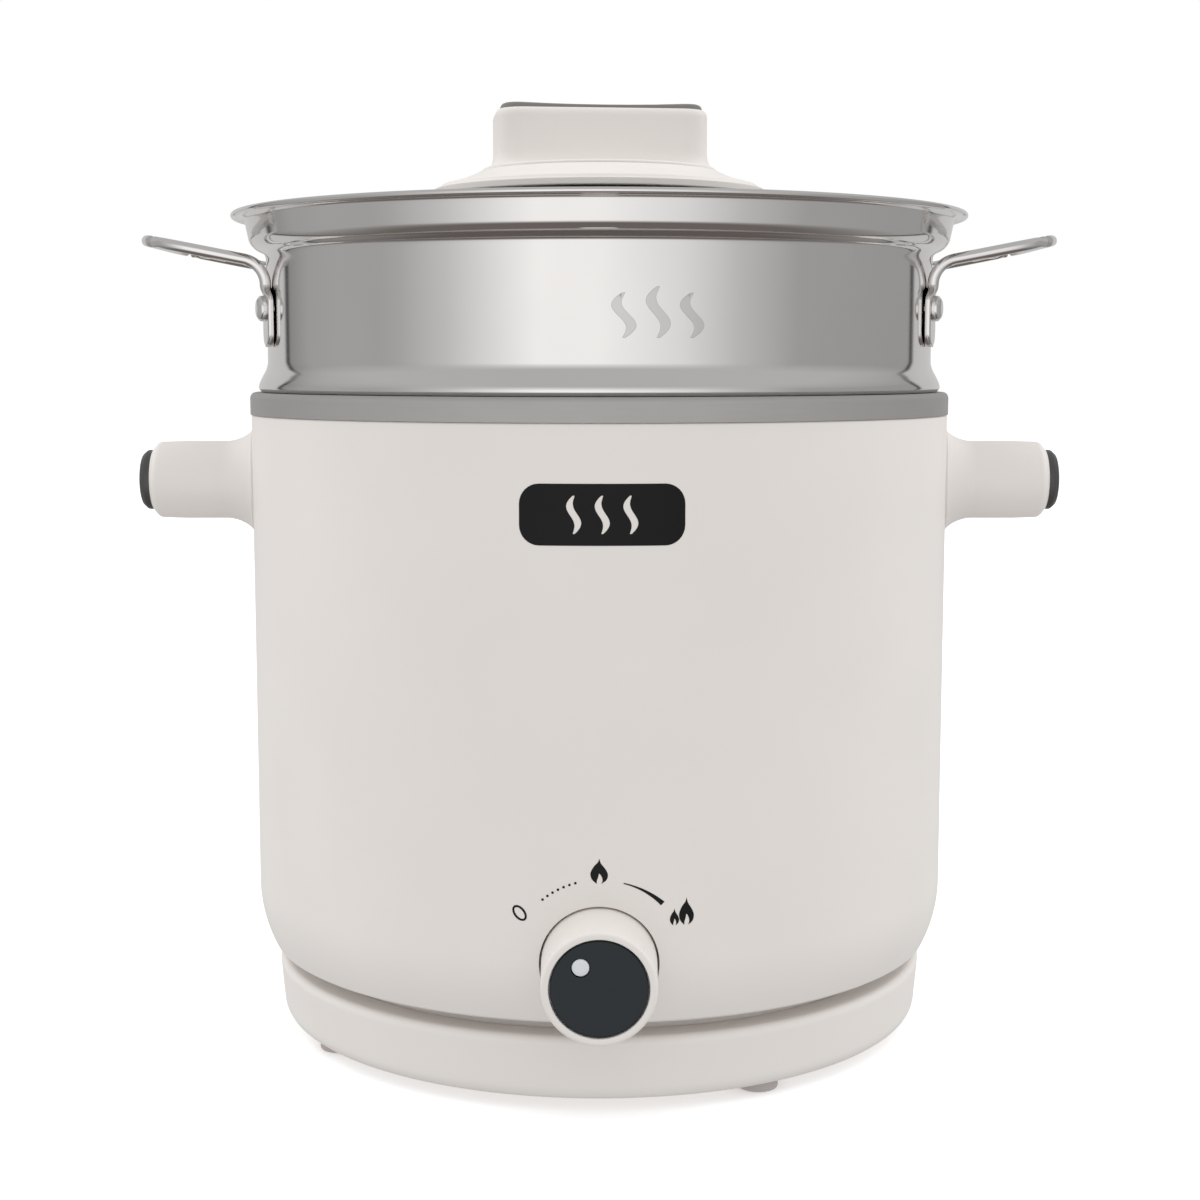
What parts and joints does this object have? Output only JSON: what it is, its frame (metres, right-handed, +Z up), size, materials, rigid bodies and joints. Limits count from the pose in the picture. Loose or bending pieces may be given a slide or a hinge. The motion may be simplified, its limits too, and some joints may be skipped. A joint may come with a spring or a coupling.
{
  "type": "electric cooking pot with steamer",
  "caption": "Electric cooking pot with a fixed steel inner pot, a stacking steel steamer with wire handles, a domed glass lid and a turning heat knob.",
  "frame": {"origin": "on the surface the feet stand on, under the pot's vertical axis, which is the centre of the whole object's footprint box", "axes": "+Z up along the pot's axis, -Y towards the control knob at the front, +X towards the right-hand handle seen from the front"},
  "size_m": [0.2662, 0.24, 0.2642],
  "materials": {
    "cream_plastic": "satin moulded plastic",
    "grey_plastic": "satin",
    "dial_plastic": "satin gloss",
    "pointer_plastic": "gloss",
    "black_plastic": "fine matt texture",
    "ivory_plastic": "matt",
    "foot_rubber": "matt",
    "seal_silicone": "matt",
    "gasket_silicone": "matt",
    "satin_steel": "fine satin",
    "mirror_steel": "mirror polished stainless steel",
    "zinc_steel": "bright zinc",
    "element_steel": "dull annealed",
    "aluminium": "cast",
    "terminal_brass": "plain",
    "ceramic": "matt",
    "lid_glass": "clear tempered",
    "wire_brown": "silicone sleeve",
    "wire_black": "silicone sleeve",
    "wire_blue": "silicone sleeve",
    "wire_green": "silicone sleeve"
  },
  "bodies": {
    "pot": {"outer_housing": "cream_plastic", "base_cover": "cream_plastic", "foot_1": "foot_rubber", "foot_2": "foot_rubber", "foot_3": "foot_rubber", "foot_4": "foot_rubber", "base_screws": "zinc_steel", "inner_pot": "satin_steel", "rim_seal": "seal_silicone", "pot_studs": "zinc_steel", "clamp_ring": "zinc_steel", "clamp_nuts": "zinc_steel", "heating_plate": "aluminium", "heating_element": "element_steel", "element_insulators": "ceramic", "element_pins": "terminal_brass", "thermal_cutout": "black_plastic", "cutout_bracket": "zinc_steel", "cutout_screws": "zinc_steel", "thermostat": "ivory_plastic", "thermostat_nut": "zinc_steel", "thermostat_terminals": "terminal_brass", "power_inlet": "black_plastic", "inlet_pins": "terminal_brass", "inlet_screws": "zinc_steel", "earth_tag": "terminal_brass", "thermal_fuse": "ceramic", "lead_live": "wire_brown", "lead_switched": "wire_black", "lead_neutral": "wire_blue", "lead_return": "wire_blue", "lead_earth": "wire_green", "left_handle": "cream_plastic", "right_handle": "cream_plastic", "left_handle_cap": "grey_plastic", "right_handle_cap": "grey_plastic", "handle_screws": "zinc_steel"},
    "control_knob": {"knob_sleeve": "cream_plastic", "knob_cap": "dial_plastic", "knob_pointer": "pointer_plastic", "thermostat_shaft": "zinc_steel", "knob_clip": "zinc_steel"},
    "steamer": {"steamer_body": "mirror_steel", "left_steamer_handle": "mirror_steel", "right_steamer_handle": "mirror_steel", "steamer_rivets": "mirror_steel"},
    "lid": {"lid_glass": "lid_glass", "lid_rim": "mirror_steel", "lid_vent": "mirror_steel", "lid_gasket": "gasket_silicone", "lid_knob_foot": "cream_plastic", "lid_knob": "cream_plastic", "lid_knob_insert": "grey_plastic", "lid_washer": "seal_silicone", "lid_screw": "zinc_steel"}
  },
  "joints": [
    {"name": "knob_turn", "type": "hinge", "parent": "pot", "child": "control_knob", "pos_m": [0, -0.11, 0.041], "axis": [0, 1, 0], "range_deg": [0, 100]},
    {"name": "steamer_lift", "type": "slide", "parent": "pot", "child": "steamer", "axis": [0, 0, 1], "range_m": [0, 0.12]},
    {"name": "lid_lift", "type": "slide", "parent": "steamer", "child": "lid", "axis": [0, 0, 1], "range_m": [0, 0.08]}
  ]
}
